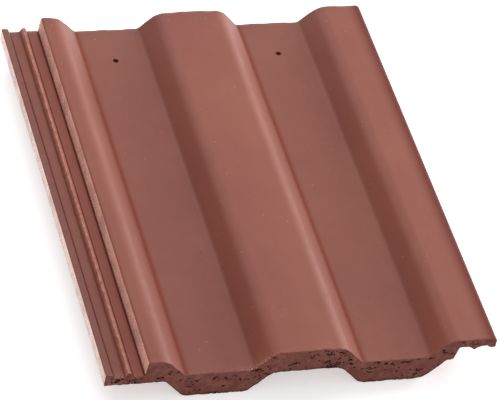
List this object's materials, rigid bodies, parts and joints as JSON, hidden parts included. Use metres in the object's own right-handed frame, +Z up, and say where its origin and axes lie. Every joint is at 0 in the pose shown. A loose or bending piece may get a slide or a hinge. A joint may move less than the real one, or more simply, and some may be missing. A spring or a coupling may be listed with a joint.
{
  "type": "concrete roof tile",
  "caption": "Interlocking profiled roof tile of coated concrete: flat pans between low flat-topped rolls, a ribbed side underlap, a side overlap, hanging nibs, nail holes and a deep foot.",
  "frame": {"origin": "on the floor the tile lies on, at the middle of its outline seen from above", "axes": "+Z up out of the weathered face, +Y from the foot up the slope to the head, +X from the side underlap to the side overlap"},
  "size_m": [0.33, 0.42, 0.0429],
  "materials": {
    "roof_tile": "satin red-brown coating on fine-grained concrete, bare and porous at the cut ends and underneath"
  },
  "bodies": {
    "root": {"roof_tile": "roof_tile"}
  },
  "joints": []
}
